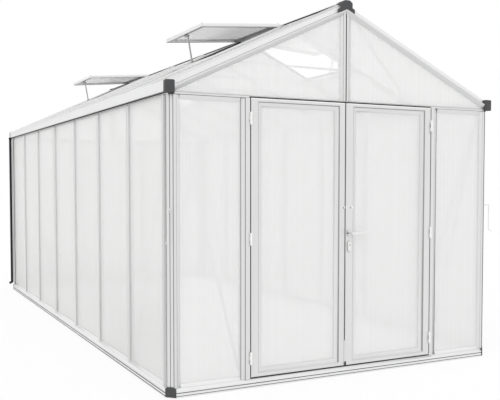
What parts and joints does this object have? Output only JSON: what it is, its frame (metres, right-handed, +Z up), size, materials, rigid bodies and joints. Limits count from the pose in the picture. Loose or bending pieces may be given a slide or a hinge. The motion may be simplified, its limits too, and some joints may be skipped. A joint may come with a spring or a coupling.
{
  "type": "polycarbonate greenhouse",
  "caption": "Gabled greenhouse with an aluminium frame, twin-wall polycarbonate sheets, double hinged doors, gutters and open roof vents.",
  "frame": {"origin": "on the ground in the middle of the base frame", "axes": "+Z up, the door end faces -Y, +X to the right seen from the doors"},
  "size_m": [2.6248, 5.296, 2.4785],
  "materials": {
    "frame_metal": "satin mill finish",
    "base_metal": "satin mill finish",
    "sheet": "frosted twin-wall sheet with fine flutes",
    "grey_plastic": "fine moulded texture",
    "black_plastic": "smooth drain pipe",
    "white_metal": "white enamel",
    "fittings_metal": "satin",
    "brace_metal": "galvanised flat bar"
  },
  "bodies": {
    "house": {"front_base_rail": "base_metal", "rear_base_rail": "base_metal", "left_base_rail": "base_metal", "right_base_rail": "base_metal", "base_corner_caps": "grey_plastic", "front_corner_posts": "frame_metal", "rear_corner_posts": "frame_metal", "left_wall_bars": "frame_metal", "right_wall_bars": "frame_metal", "door_jambs": "frame_metal", "jamb_hinges": "white_metal", "rear_wall_bars": "frame_metal", "transoms": "frame_metal", "gable_posts": "frame_metal", "left_gutter": "frame_metal", "right_gutter": "frame_metal", "roof_end_caps": "grey_plastic", "ridge_beam": "frame_metal", "rakes": "frame_metal", "left_roof_bars": "frame_metal", "right_roof_bars": "frame_metal", "vent_sills": "frame_metal", "collar_ties": "brace_metal", "wall_braces": "brace_metal", "roof_braces": "brace_metal", "left_wall_panels": "sheet", "right_wall_panels": "sheet", "front_wall_panels": "sheet", "rear_wall_panels": "sheet", "gable_panels": "sheet", "left_roof_panels": "sheet", "right_roof_panels": "sheet", "vent_frames": "frame_metal", "vent_panels": "sheet", "vent_props": "fittings_metal", "downpipes": "black_plastic", "door_hooks": "white_metal"},
    "left_door": {"left_door_frame": "frame_metal", "left_door_panel": "sheet", "left_door_hinges": "white_metal"},
    "right_door": {"right_door_frame": "frame_metal", "right_door_panel": "sheet", "right_door_hinges": "white_metal", "lock_plates": "fittings_metal"},
    "lever": {"lever_handle": "fittings_metal"}
  },
  "joints": [
    {"name": "left_door_hinge", "type": "hinge", "parent": "house", "child": "left_door", "pos_m": [-0.71075, -2.63, 0.936], "axis": [0, 0, -1], "range_deg": [0, 165]},
    {"name": "right_door_hinge", "type": "hinge", "parent": "house", "child": "right_door", "pos_m": [0.71075, -2.63, 0.936], "axis": [0, 0, 1], "range_deg": [0, 165]},
    {"name": "lever_turn", "type": "hinge", "parent": "right_door", "child": "lever", "pos_m": [0.024, -2.622, 0.952], "axis": [0, 1, 0], "range_deg": [0, 40], "stiffness_Nm_per_rad": 1, "springref_deg": -20.05}
  ]
}
